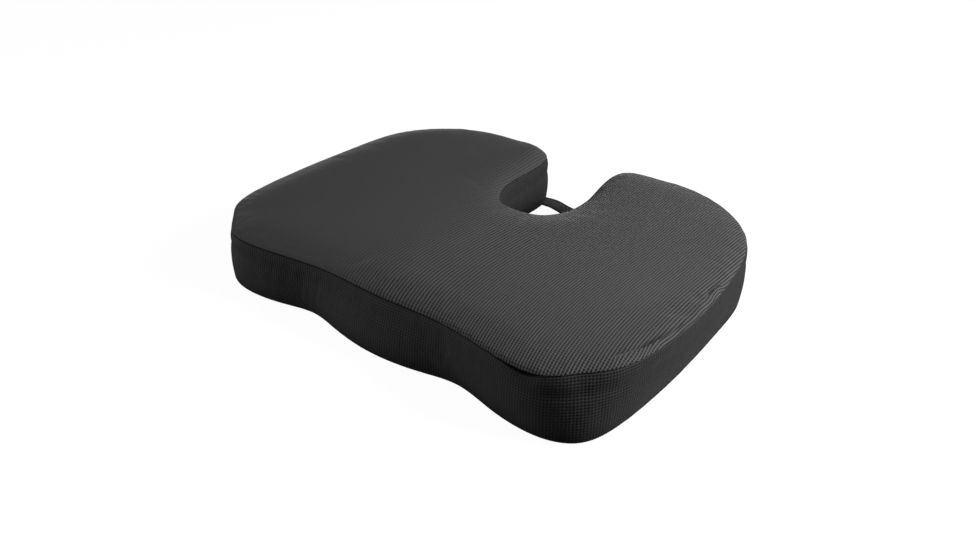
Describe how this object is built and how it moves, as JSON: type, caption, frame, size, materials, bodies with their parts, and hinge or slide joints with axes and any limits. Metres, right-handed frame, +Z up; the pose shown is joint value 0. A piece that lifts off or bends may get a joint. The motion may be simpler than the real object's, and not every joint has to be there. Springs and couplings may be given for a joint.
{
  "type": "seat cushion",
  "caption": "Contoured foam seat cushion with a rear coccyx notch, zipped mesh cover, grip-dot underside and webbing carry handle.",
  "frame": {"origin": "on the resting plane under the symmetry plane, midway between the front and rear edges of the wall at table height", "axes": "+Z up, -Y towards the front edge of the seat, +Y towards the open end of the coccyx notch, X across the width"},
  "size_m": [0.4493, 0.3384, 0.072],
  "materials": {
    "foam": "open-cell memory foam, matte",
    "mesh_fabric": "black spacer mesh, small round holes, soft sheen",
    "base_fabric": "black plain-woven non-slip cloth, matte",
    "grip_rubber": "matte moulded dots",
    "thread": "twisted polyester thread",
    "zip_tape": "herringbone woven tape",
    "zip_coil": "nylon monofilament, satin",
    "zip_metal": "black enamel, satin, worn on the edges",
    "webbing": "flat woven polyester webbing"
  },
  "bodies": {
    "cushion": {"foam_core": "foam", "top_panel": "mesh_fabric", "side_band": "mesh_fabric", "zip_band_upper": "mesh_fabric", "zip_band_lower": "mesh_fabric", "bottom_panel": "base_fabric", "grip_dots": "grip_rubber", "top_seam_thread": "thread", "bottom_seam_thread": "thread", "band_join_threads": "thread", "zip_tape_upper": "zip_tape", "zip_tape_lower": "zip_tape", "zip_coil_upper": "zip_coil", "zip_coil_lower": "zip_coil", "zip_top_stops": "zip_metal", "zip_bottom_stop": "zip_metal", "zip_stitching": "thread", "zip_bartacks": "thread", "handle_tails": "webbing"},
    "zip_slider": {"zip_slider_body": "zip_metal"},
    "zip_pull": {"zip_puller": "zip_metal"},
    "handle": {"handle_webbing": "webbing", "handle_stitching": "thread"}
  },
  "joints": [
    {"name": "zip_slide", "type": "slide", "parent": "cushion", "child": "zip_slider", "axis": [0, -1, 0], "range_m": [0, 0.168]},
    {"name": "puller_flip", "type": "hinge", "parent": "zip_slider", "child": "zip_pull", "pos_m": [-0.2147, 0.084, 0.018], "axis": [0, 0, -1], "range_deg": [0, 170]},
    {"name": "handle_swing", "type": "hinge", "parent": "cushion", "child": "handle", "pos_m": [0, 0.1655, 0.0072], "axis": [-1, 0, 0], "range_deg": [0, 80]}
  ]
}
